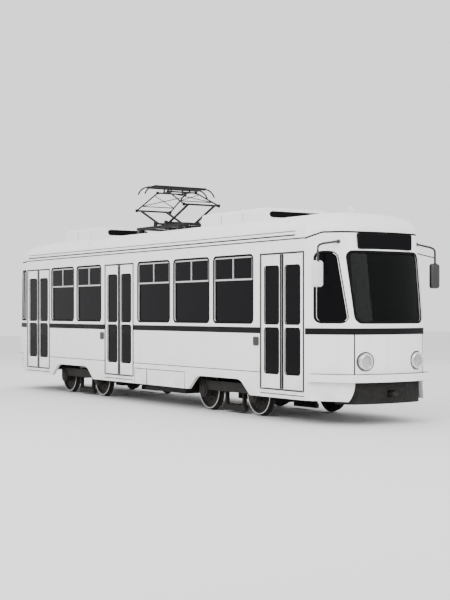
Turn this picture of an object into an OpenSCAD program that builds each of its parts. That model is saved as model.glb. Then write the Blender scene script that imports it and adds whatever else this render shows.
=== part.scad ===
// Single-ended four-axle tram: one rigid car on two swivelling bogies, with three outward-swinging
// double doors on its right side, a diamond pantograph and two equipment boxes on its roof.
// Millimetres. X runs forward, Y to the left and Z up. The origin is under the middle of the car,
// at the lowest point of the wheel flanges.

/* [Body] */
// Width over the side walls
body_w = 2200; // [2150:10:2500]
// Thickness of the walls and the roof
wall_t = 60; // [50:5:70]
// Height of the skirts' lower edge
skirt_z = 365; // [340:5:400]
// Height of the floor's top
floor_z = 850; // [840:10:900]
// Height where the ends begin to lean back
lean_z = 1490; // [1400:10:1520]
// Height of the window sills
sill_z = 1530; // [1400:10:1600]
// Height of the tops of the windows and doors
head_z = 2590; // [2500:10:2650]
// Height of the gutter, where walls and roof meet
gutter_z = 2810; // [2760:10:3000]
// Rise of the roof above the gutter
roof_rise = 420; // [300:10:500]

/* [Bays along the sides] */
// Width of a window opening ahead of the middle doorway
window_w = 1140; // [900:10:1300]
// Width of a window opening behind the middle doorway
rear_window_w = 1040; // [900:10:1300]
// Width of a doorway
door_w = 1100; // [900:10:1300]
// Wall between two windows
pillar_w = 165; // [120:5:250]
// Wall between the front doorway and the first window
front_gap = 240; // [240:5:400]
// Wall between the middle doorway and the windows beside it
middle_gap = 200; // [120:5:300]
// Wall between the last window and the rear doorway
rear_gap = 130; // [100:5:300]
// Wall beyond the first and the last doorway
post_w = 50; // [40:5:100]

/* [Ends] */
// Length of the nose in front of the side walls
nose_len = 740; // [700:10:1000]
// Length of the tail behind the side walls
tail_len = 895; // [600:5:1000]
// Half width of the nose at its corners
nose_corner = 710; // [680:10:950]
// Half width of the tail at its corners
tail_corner = 930; // [850:10:1000]
// Backward lean of the windscreen, in degrees
nose_rake = 7.9; // [0:0.1:12]
// Backward lean of the pillars beside the windscreen, in degrees
pillar_rake = 11; // [8:0.5:14]
// Lean of the rear window, in degrees
tail_rake = 3.5; // [0:0.1:8]
// Rise of the front mask above the gutter
mask_rise = 90; // [50:5:120]
// How far the bumpers stand out
bumper_out = 75; // [60:5:140]
// Height of a bumper bar
bumper_h = 115; // [80:5:160]
// Height of the bumpers' lower edge
bumper_z = 650; // [580:5:680]

/* [Bogies] */
// Distance between the bogie pivots
pivot_spacing = 5500; // [5000:50:6000]
// Distance between a bogie's axles
wheelbase = 1500; // [1400:20:1800]
// Radius of the wheel tread
tread_r = 330; // [300:5:340]
// Height of the wheel flange
flange_h = 22; // [15:1:28]
// Distance between the wheels' inner faces
wheel_back = 1380; // [1340:5:1400]
// Radius of an axle
axle_r = 65; // [50:1:75]

/* [Pantograph] */
// Length of each arm, between its pivots
arm_len = 760; // [700:10:1000]
// Rise of the arms from the horizontal as stored, in degrees
arm_angle = 23; // [10:1:60]
// Half distance between the base pivots
pivot_half = 200; // [150:5:300]
// Place of the pantograph's middle along the car
panto_x = -420; // [-600:10:0]

/* [Clearances] */
// Gap between a part and the seat that holds it
seat_gap = 0.3; // [0.1:0.1:0.5]
// Gap around a door leaf
leaf_gap = 8; // [6:1:12]

/* [Hidden] */
$fn = 48;
far = 20000;              // longer than the car, for cuts that pass right through
skin = 1;                 // thickness of the slices that a hull joins

// Bays of the right side, from front to rear: [kind, width]
bays = [
  ["post", post_w], ["door", door_w], ["post", front_gap], ["window", window_w],
  ["post", pillar_w], ["window", window_w], ["post", pillar_w], ["window", window_w],
  ["post", middle_gap], ["door", door_w], ["post", middle_gap], ["window", rear_window_w],
  ["post", pillar_w], ["window", rear_window_w], ["post", rear_gap], ["door", door_w],
  ["post", post_w]
];
function width_of(n) = n == 0 ? 0 : bays[n - 1][1] + width_of(n - 1);
wall_len = width_of(len(bays));
body_len = nose_len + wall_len + tail_len;
half_w = body_w / 2;
front_x = body_len / 2;
rear_x = -front_x;
wall_front = front_x - nose_len;
wall_rear = rear_x + tail_len;
function bay_ends(kind) = [
  for (i = [0 : len(bays) - 1]) if (bays[i][0] == kind)
    [wall_front - width_of(i + 1), wall_front - width_of(i)]
];
windows = bay_ends("window");
doors = bay_ends("door");
roof_z = gutter_z + roof_rise;
mask_z = gutter_z + mask_rise;

// Doors
door_sill_z = 500;
leaf_t = 36;
hinge_y = -(half_w - 24);
hinge_in = leaf_t / 2 + leaf_gap;
pin_r = 12;
pin_len = 25;
leaf_margin = 78;
leaf_glass = [[740, 1440], [1510, 2400]];
glass_t = 8;
glass_inset = 27;
window_r = 60;
floor_t = 60;

// ---------- Small shapes ----------

// Rectangle from one corner to the other, with round corners
module rounded(low, high, r) {
  translate([low[0] + r, low[1]]) square([high[0] - low[0] - 2 * r, high[1] - low[1]]);
  translate([low[0], low[1] + r]) square([high[0] - low[0], high[1] - low[1] - 2 * r]);
  for (x = [low[0] + r, high[0] - r], y = [low[1] + r, high[1] - r]) translate([x, y]) circle(r);
}

module block(low, high) {
  translate(low) cube(high - low);
}

// Extrudes an X-Z outline across the car, from y0 to y1
module across(y0, y1) {
  translate([0, y1, 0]) rotate([90, 0, 0]) linear_extrude(y1 - y0) children();
}

// Extrudes a Y-Z outline along the car, from x0 to x1
module along(x0, x1) {
  translate([x0, 0, 0]) rotate([90, 0, 90]) linear_extrude(x1 - x0) children();
}

module tube(p, q, r) {
  d = q - p;
  translate(p)
    rotate([0, acos(d[2] / norm(d)), atan2(d[1], d[0])])
      cylinder(h = norm(d), r = r);
}

// Round bar along Y
module cross_bar(x, z, y0, y1, r) {
  translate([x, y1, z]) rotate([90, 0, 0]) cylinder(h = y1 - y0, r = r);
}

module both_sides() {
  children();
  mirror([0, 1, 0]) children();
}

// ---------- Shape of the ends and the roof ----------

bow_r = 2400;
corner_r = 90;
function bezier(a, b, c, n) = [
  for (i = [0 : n]) let (t = i / n) (1 - t) * (1 - t) * a + 2 * t * (1 - t) * b + t * t * c
];
function bow_x(tip, y) = tip - bow_r + sqrt(bow_r * bow_r - y * y);
function reversed(v) = [for (i = [len(v) - 1 : -1 : 0]) v[i]];
function mirrored_y(v) = [for (p = reversed(v)) [p[0], -p[1]]];

// Half of an end's outline, from its start on the right side to just before the middle
function half_end(start, tip, corner, inset) =
  let (
    y_corner = corner - inset,
    tip_in = tip - inset,
    a = [start, -(half_w - inset)],
    c = [bow_x(tip_in, y_corner), -y_corner],
    p = c - corner_r * (c - a) / norm(c - a),
    y_front = y_corner - corner_r,
    q = [bow_x(tip_in, y_front), -y_front]
  )
  concat([a], bezier(p, c, q, 10),
         [for (y = [-0.8, -0.6, -0.4, -0.2] * y_front) [bow_x(tip_in, y), y]]);

// Outline of an end, from the right side round the tip to the left side
function end_outline(start, tip, corner, inset) =
  let (half = half_end(start, tip, corner, inset))
  concat(half, [[tip - inset, 0]], mirrored_y(half));

function nose_tip(z) = front_x - max(0, z - lean_z) * tan(nose_rake);

// The tail leans above the sill and is rounded under at its lower edge
tail_round = 230;
tail_ring_z = [skirt_z + 90, skirt_z + tail_round];
function tail_under(z) =
  let (d = min(tail_round, max(0, skirt_z + tail_round - z)))
  (tail_round - sqrt(tail_round * tail_round - d * d)) * 0.6;
function tail_tip(z) = front_x - max(0, z - lean_z) * tan(tail_rake) - tail_under(z);

// An inset slice reaches back past the start, so that the hollow it cuts is open at that end
module end_slice(z, start, tip, corner, inset) {
  back = inset == 0 ? [] : [[start - abs(inset), -(half_w - inset)]];
  translate([0, 0, z])
    linear_extrude(skin)
      polygon(concat(back, end_outline(start, tip, corner, inset), mirrored_y(back)));
}

// How far the solid ends reach above the joint with the roof, before they are cut there
rim_margin = 5;

// Solid nose, inset from its outer face; the tail is the same shape turned round
module nose_block(inset) {
  hull()
    for (z = [skirt_z - inset, lean_z, mask_z + rim_margin + inset])
      end_slice(z, wall_front, nose_tip(z), nose_corner, inset);
}

// low lists the slices below the lean
module tail_block(inset, low) {
  mirror([1, 0, 0])
    hull()
      for (z = concat(low, [lean_z, gutter_z + rim_margin + inset]))
        end_slice(z, -wall_rear, tail_tip(z), tail_corner, inset);
}

// Everything above the joint between the walls and the roof
ramp_x = wall_front + 200;
function rim_z(x) = gutter_z + mask_rise * min(1, max(0, (x - wall_front) / (ramp_x - wall_front)));
module above_rim() {
  across(-far, far)
    polygon([[-far, gutter_z], [wall_front, gutter_z], [ramp_x, mask_z], [far, mask_z],
             [far, far], [-far, far]]);
}

// Roof: rings that rise and draw in from the rim by a superellipse
roof_power = 2 / 2.8;
dome_len = 1000;
dome_reach = 1400;
ring_angles = [0, 6, 13, 20, 28, 36, 44, 52, 60, 68, 76, 84];
function ring_in(a) = pow(cos(a), roof_power);
function ring_up(a) = pow(sin(a) / sin(ring_angles[len(ring_angles) - 1]), roof_power);
function with_ramp(v) =
  let (t = (ramp_x - v[0][0]) / (v[1][0] - v[0][0]))
  concat([v[0]], [v[0] + t * (v[1] - v[0])], [for (i = [1 : len(v) - 1]) v[i]]);
function rim_outline(inset) =
  let (
    nose_half = with_ramp(half_end(wall_front, nose_tip(mask_z), nose_corner, inset)),
    nose_all = concat(nose_half, [[nose_tip(mask_z) - inset, 0]], mirrored_y(nose_half)),
    tail_all = end_outline(-wall_rear, tail_tip(gutter_z), tail_corner, inset)
  )
  concat(nose_all, [for (p = tail_all) [-p[0], -p[1]]]);
function drawn_in(p, c, tip) =
  let (w = min(1, max(0, (abs(p[0]) - (tip - dome_reach)) / dome_reach)))
  [p[0] - sign(p[0]) * dome_len * (1 - c) * w, p[1] * c];
function roof_ring(inset, a) = [
  for (p = rim_outline(inset))
    let (
      low = rim_z(p[0]),
      q = drawn_in(p, ring_in(a), p[0] > 0 ? nose_tip(mask_z) - inset : tail_tip(gutter_z) - inset)
    )
    [q[0], q[1], low + (roof_z - inset - low) * ring_up(a)]
];

module roof_shell() {
  n = len(rim_outline(0));
  m = len(ring_angles);
  points = concat([for (a = ring_angles) each roof_ring(0, a)],
                  [for (a = ring_angles) each roof_ring(wall_t, a)]);
  inner = n * m;
  walls = [
    for (k = [0, inner], j = [0 : m - 2], i = [0 : n - 1])
      let (a = k + j * n + i, b = k + j * n + (i + 1) % n, c = a + n, d = b + n)
      each (k == 0 ? [[a, c, d], [a, d, b]] : [[a, d, c], [a, b, d]])
  ];
  rim = [
    for (i = [0 : n - 1])
      let (a = i, b = (i + 1) % n, c = inner + i, d = inner + (i + 1) % n)
      each [[a, b, d], [a, d, c]]
  ];
  top = [for (i = [0 : n - 1]) n * (m - 1) + i];
  ceiling = [for (i = [n - 1 : -1 : 0]) inner + n * (m - 1) + i];
  polyhedron(points, concat(walls, rim, [reversed(top)], [reversed(ceiling)]));
}

// The roof's panels meet where its straight middle ends
roof_joints = [wall_rear + 250, wall_front - 610];
module roof_part(x0, x1) {
  color("whitesmoke")
    intersection() {
      roof_shell();
      block([x0, -far, 0], [x1, far, far]);
    }
}
module rear_roof() { roof_part(-far, roof_joints[0]); }
module roof() { roof_part(roof_joints[0], roof_joints[1]); }
module front_roof() { roof_part(roof_joints[1], far); }

// Cross-section of the roof where it is straight, grown by a gap
module roof_section(gap) {
  side = [for (a = ring_angles) [-half_w * ring_in(a), gutter_z + roof_rise * ring_up(a) + gap]];
  polygon(concat([[-half_w, 0]], side, [for (p = reversed(side)) [-p[0], p[1]]], [[half_w, 0]]));
}

// ---------- Walls ----------

arch_z = 605;
arch_top = 1330;
arch_bottom = 1880;
arch_r = 110;
hatch = [[-100, 345], [355, 1690]];
hatch_z = 650;

arch_foot = [arch_bottom / 2, skirt_z];
arch_corner = [arch_top / 2, arch_z];
arch_slope = (arch_foot - arch_corner) / norm(arch_foot - arch_corner);
arch_side = concat([arch_foot + arch_slope * skirt_z],
                   bezier(arch_corner + arch_slope * arch_r, arch_corner, arch_corner - [arch_r, 0], 8));
module wheel_arches() {
  for (x = [-1, 1] * pivot_spacing / 2)
    translate([x, 0]) polygon(concat(arch_side, [for (p = reversed(arch_side)) [-p[0], p[1]]]));
}

module window_cuts(ends) {
  for (w = ends) rounded([w[0], sill_z], [w[1], head_z], window_r);
}

module wall_outline() {
  difference() {
    translate([wall_rear, skirt_z]) square([wall_len, gutter_z - skirt_z]);
    wheel_arches();
    translate([hatch[0][0], 0]) square([hatch[1][1] - hatch[0][0], hatch_z]);
  }
}

module right_wall() {
  color("whitesmoke")
    difference() {
      across(-half_w, -half_w + wall_t)
        difference() {
          wall_outline();
          window_cuts(windows);
          for (d = doors) translate([d[0], door_sill_z]) square([door_w, head_z - door_sill_z]);
        }
      for (d = doors, x = [d[0] + hinge_in, d[1] - hinge_in])
        translate([x, hinge_y, door_sill_z - pin_len])
          cylinder(h = head_z - door_sill_z + 2 * pin_len, r = pin_r + seat_gap);
    }
}

module left_wall() {
  color("whitesmoke")
    across(half_w - wall_t, half_w)
      difference() {
        wall_outline();
        window_cuts(concat(windows, doors));
      }
}

module skirt_hatches() {
  color("whitesmoke")
    both_sides()
      for (h = hatch)
        across(half_w - wall_t, half_w)
          translate([h[0] + seat_gap, skirt_z])
            square([h[1] - h[0] - 2 * seat_gap, hatch_z - skirt_z - seat_gap]);
}

// ---------- Nose and tail ----------

windscreen_half = [630, 680];
windscreen_z = [1550, 2575];
windscreen_r = 90;
light_y = 500;
light_z = 958;
light_r = 125;
lens_r = 90;
tail_light_y = 640;
tail_light_r = 70;
sign_half = 515;
sign_z = [2630, 2870];
mouth_half = [735, 660];
rear_glass_half = 620;

// Outline with round corners, through four corners in order
module round_quad(corners, r) {
  points = [
    for (i = [0 : 3])
      let (
        c = corners[i],
        a = corners[(i + 3) % 4],
        b = corners[(i + 1) % 4]
      )
      each bezier(c + r * (a - c) / norm(a - c), c, c + r * (b - c) / norm(b - c), 8)
  ];
  polygon(points);
}

module windscreen_cut(gap) {
  low = windscreen_half[0] - gap;
  high = windscreen_half[1] - gap;
  z = windscreen_z + [gap, -gap];
  along(front_x - 600, front_x + 100)
    round_quad([[-low, z[0]], [low, z[0]], [high, z[1]], [-high, z[1]]], windscreen_r);
}

// Side light of the nose, slanted along the windscreen pillar
nose_light_x = [wall_front + 145, front_x - 165];
module nose_light_cut(gap) {
  x0 = nose_light_x[0] + gap;
  x1 = nose_light_x[1] - gap;
  z = windscreen_z + [gap, -gap];
  slant = (z[1] - z[0]) * tan(pillar_rake);
  across(-half_w - 10, half_w + 10)
    round_quad([[x0, z[0]], [x1, z[0]], [x1 - slant, z[1]], [x0, z[1]]], windscreen_r);
}

module tail_light_cut(gap) {
  across(-half_w - 10, half_w + 10)
    rounded([rear_x + 330 + gap, sill_z + gap], [wall_rear - 45 - gap, head_z - gap], window_r);
}

module rear_window_cut(gap) {
  along(rear_x - 100, rear_x + 400)
    rounded([-rear_glass_half + gap, sill_z + gap], [rear_glass_half - gap, head_z - 90 - gap], 90);
}

// Opening under the front bumper, wider at the bottom, with bowed sides
module mouth_cut() {
  side = bezier([mouth_half[1], bumper_z], [mouth_half[1], (bumper_z + skirt_z) / 2],
                [mouth_half[0], skirt_z - 1], 6);
  along(front_x - 400, front_x + 100)
    polygon(concat([for (p = reversed(side)) [-p[0], p[1]]], side));
}

module nose() {
  color("whitesmoke")
    difference() {
      nose_block(0);
      nose_block(wall_t);
      above_rim();
      windscreen_cut(0);
      nose_light_cut(0);
      mouth_cut();
      along(front_x - 600, front_x + 100)
        rounded([-sign_half - seat_gap, sign_z[0] - seat_gap],
                [sign_half + seat_gap, sign_z[1] + seat_gap], 30);
      for (y = [-light_y, light_y])
        translate([front_x - 200, y, light_z]) rotate([0, 90, 0]) cylinder(h = 300, r = light_r + seat_gap);
    }
}

module tail() {
  color("whitesmoke")
    difference() {
      tail_block(0, concat([skirt_z], tail_ring_z));
      tail_block(wall_t, concat([skirt_z - wall_t], tail_ring_z));
      above_rim();
      tail_light_cut(0);
      rear_window_cut(0);
      for (y = [-tail_light_y, tail_light_y])
        translate([rear_x - 100, y, light_z])
          rotate([0, 90, 0]) cylinder(h = 300, r = tail_light_r + seat_gap);
      mirror([1, 0, 0]) coupler_slot();
    }
}

module windscreen() {
  color("dimgray", 0.5)
    intersection() {
      difference() {
        nose_block(20);
        nose_block(20 + glass_t);
      }
      windscreen_cut(seat_gap);
    }
}

module rear_window() {
  color("dimgray", 0.5)
    intersection() {
      difference() {
        tail_block(20, [skirt_z - 20]);
        tail_block(20 + glass_t, [skirt_z - 20 - glass_t]);
      }
      rear_window_cut(seat_gap);
    }
}

// Side panes of the ends, on the right where side is -1 and on the left where it is 1
module end_panes(side) {
  intersection() {
    union() {
      intersection() {
        difference() {
          nose_block(20);
          nose_block(20 + glass_t);
        }
        nose_light_cut(seat_gap);
      }
      intersection() {
        difference() {
          tail_block(20, [skirt_z - 20]);
          tail_block(20 + glass_t, [skirt_z - 20 - glass_t]);
        }
        tail_light_cut(seat_gap);
      }
    }
    block([-far, side > 0 ? 0 : -far, 0], [far, side > 0 ? far : 0, far]);
  }
}

module wall_panes(ends) {
  for (w = ends)
    rounded([w[0] + seat_gap, sill_z + seat_gap], [w[1] - seat_gap, head_z - seat_gap],
            window_r - seat_gap);
}

module right_windows() {
  color("dimgray", 0.5) {
    across(-half_w + glass_inset, -half_w + glass_inset + glass_t) wall_panes(windows);
    end_panes(-1);
  }
}

module left_windows() {
  color("dimgray", 0.5) {
    across(half_w - glass_inset - glass_t, half_w - glass_inset) wall_panes(concat(windows, doors));
    end_panes(1);
  }
}

// Sliding vents: a frame over the upper third of each side window, with a bar down its middle
vent_z = 2230;
vent_frame = 26;
module vent(w) {
  middle = (w[0] + w[1]) / 2;
  difference() {
    rounded([w[0] + seat_gap, sill_z + seat_gap], [w[1] - seat_gap, head_z - seat_gap],
            window_r - seat_gap);
    square([2 * far, 2 * (vent_z - vent_frame)], center = true);
    for (x = [[w[0] + vent_frame, middle - vent_frame / 2], [middle + vent_frame / 2, w[1] - vent_frame]])
      translate([x[0], vent_z]) square([x[1] - x[0], head_z - vent_z - vent_frame]);
  }
}

module window_vents() {
  color("whitesmoke") {
    across(-half_w + 7, -half_w + glass_inset) for (w = windows) vent(w);
    across(half_w - glass_inset, half_w - 7) for (w = concat(windows, doors)) vent(w);
  }
}

module sun_blind() {
  color("white")
    intersection() {
      difference() {
        nose_block(20 + glass_t + seat_gap);
        nose_block(40);
      }
      along(front_x - 600, front_x + 100) rounded([-625, 2430], [625, 2560], 20);
    }
}

// ---------- Bumpers, valance, lights and mirrors ----------

module bumper(start, tip, corner, reach) {
  translate([0, 0, bumper_z])
    linear_extrude(bumper_h)
      intersection() {
        difference() {
          polygon(end_outline(start, tip, corner, -bumper_out));
          polygon(end_outline(start, tip, corner, -0.5));
        }
        translate([reach, -far / 2]) square(far);
      }
}

module bumpers() {
  color("whitesmoke") {
    bumper(wall_front, front_x, nose_corner, wall_front + 70);
    mirror([1, 0, 0]) bumper(-wall_rear, front_x, tail_corner, -wall_rear + 420);
  }
}

valance_z = 320;
valance_half = 800;
module front_valance() {
  color("black")
    difference() {
      translate([0, 0, valance_z])
        linear_extrude(bumper_z + 60 - valance_z)
          intersection() {
            difference() {
              polygon(end_outline(wall_front, front_x, nose_corner, wall_t + floor_gap));
              polygon(end_outline(wall_front, front_x, nose_corner, wall_t + 20));
            }
            translate([front_x - 400, -valance_half]) square([far, 2 * valance_half]);
          }
      coupler_slot();
    }
}

light_depth = 35;
module headlights() {
  color("silver")
    for (y = [-light_y, light_y])
      translate([bow_x(front_x, light_y) - light_depth, y, light_z])
        rotate([0, 90, 0])
          difference() {
            cylinder(h = light_depth + 30, r = light_r);
            translate([0, 0, light_depth - 20]) cylinder(h = 100, r = lens_r);
          }
}

module headlight_lenses() {
  color("white")
    for (y = [-light_y, light_y])
      translate([bow_x(front_x, light_y) - 20, y, light_z])
        rotate([0, 90, 0]) cylinder(h = 40, r = lens_r - seat_gap);
}

module tail_lights() {
  color("darkred")
    for (y = [-tail_light_y, tail_light_y])
      translate([-bow_x(front_x, tail_light_y) - 15, y, light_z])
        rotate([0, 90, 0]) cylinder(h = wall_t, r = tail_light_r);
}

module side_indicators() {
  color("black")
    both_sides()
      for (d = [doors[0], doors[1]])
        across(half_w, half_w + 12)
          rounded([d[0] - 210, 1160], [d[0] - 60, 1300], 30);
}

module destination_sign() {
  color("black")
    along(nose_tip(sign_z[1]) - 160, nose_tip(sign_z[1]) + 12)
      rounded([-sign_half, sign_z[0]], [sign_half, sign_z[1]], 30);
}

mirror_x = front_x - 350;
mirror_y = half_w + 50;
mirror_z = [2060, 2460];
module mirrors() {
  color("black")
    both_sides()
      difference() {
        union() {
          block([mirror_x - 30, mirror_y - 95, mirror_z[0]], [mirror_x + 30, mirror_y + 105, mirror_z[1]]);
          tube([mirror_x, half_w - 300, 2740], [mirror_x, mirror_y, 2680], 14);
          translate([mirror_x, mirror_y, 2680]) sphere(14);
          tube([mirror_x, mirror_y, 2680], [mirror_x, mirror_y, mirror_z[1] - 20], 14);
        }
        nose_block(-seat_gap);
      }
}

// ---------- Doors ----------

// The leaf runs from its hinge towards the doorway's middle; towards is 1 or -1 along X
module leaf_outline(hinge_x, towards) {
  length = door_w / 2 - hinge_in - 6;
  x = [hinge_x, hinge_x + towards * length];
  translate([min(x), door_sill_z + leaf_gap])
    square([length, head_z - door_sill_z - 2 * leaf_gap]);
}

function leaf_edges(hinge_x, towards) =
  let (free = hinge_x + towards * (door_w / 2 - hinge_in - 6), hinge = hinge_x - towards * leaf_t / 2)
  [min(free, hinge) + leaf_margin, max(free, hinge) - leaf_margin];

module leaf_panes(hinge_x, towards, gap) {
  e = leaf_edges(hinge_x, towards);
  for (z = leaf_glass) rounded([e[0] + gap, z[0] + gap], [e[1] - gap, z[1] - gap], 45);
}

module leaf(hinge_x, towards) {
  color("whitesmoke")
    difference() {
      union() {
        across(hinge_y - leaf_t / 2, hinge_y + leaf_t / 2) leaf_outline(hinge_x, towards);
        translate([hinge_x, hinge_y, door_sill_z + leaf_gap])
          cylinder(h = head_z - door_sill_z - 2 * leaf_gap, r = leaf_t / 2);
        translate([hinge_x, hinge_y, door_sill_z - pin_len + 2])
          cylinder(h = head_z - door_sill_z + 2 * pin_len - 4, r = pin_r);
      }
      across(hinge_y - leaf_t, hinge_y + leaf_t) leaf_panes(hinge_x, towards, 0);
    }
}

module leaf_glass_panes(hinge_x, towards) {
  color("dimgray", 0.5)
    across(hinge_y - glass_t / 2, hinge_y + glass_t / 2) leaf_panes(hinge_x, towards, seat_gap);
}

module front_leaf(d) { leaf(d[1] - hinge_in, -1); }
module rear_leaf(d) { leaf(d[0] + hinge_in, 1); }
module front_glass(d) { leaf_glass_panes(d[1] - hinge_in, -1); }
module rear_glass(d) { leaf_glass_panes(d[0] + hinge_in, 1); }

// ---------- Floor and underframe ----------

inner_w = half_w - wall_t;
step_depth = 240;
well_t = 15;
well_y = -inner_w + 2 * step_depth + 5;
second_step_z = (door_sill_z + floor_z) / 2;
beam_y = [300, 420];
beam_z = 640;
bolster_z = 620;
pivot_r = 60;

floor_gap = 0.5;
module floor_plate() {
  inset = wall_t + floor_gap;
  polygon(concat(end_outline(wall_front, front_x, nose_corner, inset),
                 [for (p = end_outline(-wall_rear, front_x, tail_corner, inset)) [-p[0], -p[1]]]));
}

// The floor to the left of the step wells
module floor() {
  color("dimgray")
    translate([0, 0, floor_z - floor_t])
      linear_extrude(floor_t)
        intersection() {
          floor_plate();
          translate([-far, well_y]) square([2 * far, far]);
        }
}

// The floor beside the step wells
module floor_panels() {
  color("dimgray")
    translate([0, 0, floor_z - floor_t])
      linear_extrude(floor_t)
        difference() {
          floor_plate();
          translate([-far, well_y - seat_gap]) square([2 * far, far]);
          for (d = doors) translate([d[0], -far]) square([door_w, far]);
        }
}

// Edge between the two steps of a well
step_y = -inner_w + step_depth;

module well_end() {
  polygon([[-inner_w, door_sill_z - well_t], [step_y, door_sill_z - well_t], [step_y, second_step_z - well_t],
           [well_y, second_step_z - well_t], [well_y, floor_z], [-inner_w, floor_z]]);
}

module step_treads() {
  color("dimgray")
    for (d = doors) {
      block([d[0] + well_t, -inner_w, door_sill_z - well_t], [d[1] - well_t, step_y - well_t, door_sill_z]);
      block([d[0] + well_t, step_y - well_t, second_step_z - well_t],
            [d[1] - well_t, well_y - well_t, second_step_z]);
    }
}

module step_risers() {
  color("dimgray")
    for (d = doors) {
      block([d[0] + well_t, step_y - well_t, door_sill_z - well_t],
            [d[1] - well_t, step_y, second_step_z - well_t]);
      block([d[0] + well_t, well_y - well_t, second_step_z - well_t], [d[1] - well_t, well_y, floor_z]);
    }
}

module step_ends() {
  color("dimgray")
    for (d = doors, x = [d[0], d[1] - well_t]) along(x, x + well_t) well_end();
}

module underframe() {
  color("black") {
    both_sides()
      block([rear_x + 250, beam_y[0], beam_z], [front_x - 250, beam_y[1], floor_z - floor_t]);
    for (x = [-1, 1] * pivot_spacing / 2) {
      block([x - 200, -480, bolster_z], [x + 200, 480, floor_z - floor_t]);
      translate([x, 0, bolster_z - 140]) cylinder(h = 141, r = pivot_r);
    }
    for (s = [-1, 1])
      translate([s * (front_x - 300), 0, (400 + floor_z - floor_t) / 2])
        cube([100, 900, floor_z - floor_t - 400], center = true);
  }
}

module underfloor_box() {
  color("black")
    block([doors[1][1] + 130, -900, 250], [pivot_spacing / 2 - 1350, 900, beam_z]);
}

coupler_pin_r = 22;
coupler_z = [440, 500];
coupler_half = 40;
coupler_x = front_x + 20;
module coupler_slot() {
  block([front_x - 200, -coupler_half - 30, coupler_z[0] - 20],
        [front_x + 20, coupler_half + 30, coupler_z[1] + 20]);
}

module couplers() {
  color("black")
    for (s = [0, 1])
      mirror([s, 0, 0])
        difference() {
          union() {
            block([front_x - 250, -coupler_half, coupler_z[0]],
                  [coupler_x, coupler_half, coupler_z[1]]);
            translate([coupler_x, 0, coupler_z[0]]) cylinder(h = coupler_z[1] - coupler_z[0], r = 50);
          }
          translate([coupler_x, 0, coupler_z[0] - 1])
            cylinder(h = coupler_z[1] - coupler_z[0] + 2, r = coupler_pin_r);
        }
}

// ---------- Bogies ----------

flange_r = tread_r + flange_h;
axle_z = flange_r;
frame_y = [830, 900];
frame_z = [360, 520];
transom_x = [200, 320];

module bogie_frame(x) {
  color("black")
    translate([x, 0, 0])
      difference() {
        union() {
          both_sides() {
            block([-wheelbase / 2 - 150, frame_y[0], frame_z[0]],
                  [wheelbase / 2 + 150, frame_y[1], frame_z[1]]);
            for (a = [-1, 1] * wheelbase / 2) cross_bar(a, axle_z, frame_y[0] - 10, frame_y[1] + 15, 125);
            // Track brake on its two hangers
            block([-320, 702, flange_h + 13], [320, 772, flange_h + 93]);
            for (a = [-260, 260]) block([a - 20, 702, 100], [a + 20, 772, 400]);
          }
          for (a = [0, 1]) mirror([a, 0, 0])
            block([transom_x[0], -frame_y[0], 380], [transom_x[1], frame_y[0], frame_z[1]]);
          block([-180, -420, 400], [180, 420, bolster_z - 0.5]);
          block([-transom_x[0], -420, 400], [transom_x[0], 420, 470]);
          // Motors, hung between the transoms and the axles
          for (a = [0, 1]) mirror([a, 0, 0])
            block([transom_x[1] - 1, -260, 190], [wheelbase / 2 - axle_r - 45, 260, 530]);
        }
        translate([0, 0, bolster_z - 150]) cylinder(h = 200, r = pivot_r + seat_gap);
        for (a = [-1, 1] * wheelbase / 2)
          cross_bar(a, axle_z, -frame_y[1] - seat_gap, frame_y[1] + seat_gap, axle_r + seat_gap);
      }
}

// Wheel profile: radius against distance out from the inner face
wheel_w = 100;
rim_in = 55;
module wheel_profile() {
  polygon([
    [0, 0], [95, 0], [110, 30], [tread_r - rim_in - 10, 30], [tread_r - rim_in, 0],
    [flange_r - 12, 0], [flange_r, 8], [flange_r, 18], [tread_r + 2, 30], [tread_r - 2, wheel_w],
    [tread_r - rim_in, wheel_w], [tread_r - rim_in - 10, 68], [110, 62], [95, wheel_w],
    [0, wheel_w]
  ]);
}

module wheelset(x) {
  color("silver")
    translate([x, 0, axle_z]) {
      cross_bar(0, 0, -frame_y[1], frame_y[1], axle_r);
      both_sides()
        translate([0, wheel_back / 2, 0]) rotate([-90, 0, 0]) rotate_extrude() wheel_profile();
    }
}

function axle_x(n) =
  (n < 2 ? 1 : -1) * pivot_spacing / 2 + (n % 2 == 0 ? 1 : -1) * wheelbase / 2;

// ---------- Inside ----------

seat_w = 420;
module seat(x, y) {
  translate([x, y, floor_z]) {
    block([-60, -60, 0], [60, 60, 380]);
    block([-210, -seat_w / 2, 380], [210, seat_w / 2, 450]);
    block([-250, -seat_w / 2, 400], [-190, seat_w / 2, 900]);
  }
}

seat_y = inner_w - seat_w / 2 - 25;
driver_x = wall_front - 160;
module seats() {
  color("saddlebrown") {
    for (w = windows) for (x = [w[0] + 0.28 * window_w, w[1] - 0.22 * window_w]) {
      seat(x, -seat_y);
      seat(x, seat_y);
    }
    for (d = [doors[1], doors[2]]) seat((d[0] + d[1]) / 2, seat_y);
    seat(driver_x, 180);
  }
}

module grab_poles() {
  color("silver")
    for (d = doors, x = d + [30, -30])
      translate([x, well_y + 90, floor_z]) cylinder(h = roof_z - wall_t - 30 - floor_z, r = 17);
}

module driver_desk() {
  color("dimgray")
    across(-150, 700)
      polygon([[wall_front + 160, floor_z], [wall_front + 420, floor_z], [wall_front + 420, 1440],
               [wall_front + 300, 1440], [wall_front + 120, 1300]]);
}

module cab_partition() {
  color("lightgray")
    along(doors[0][0] + 330, doors[0][0] + 360)
      difference() {
        translate([-60, floor_z]) square([inner_w + 60, 1800]);
        rounded([20, 1700], [inner_w - 80, 2480], 60);
      }
}

// ---------- On the roof ----------

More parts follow.
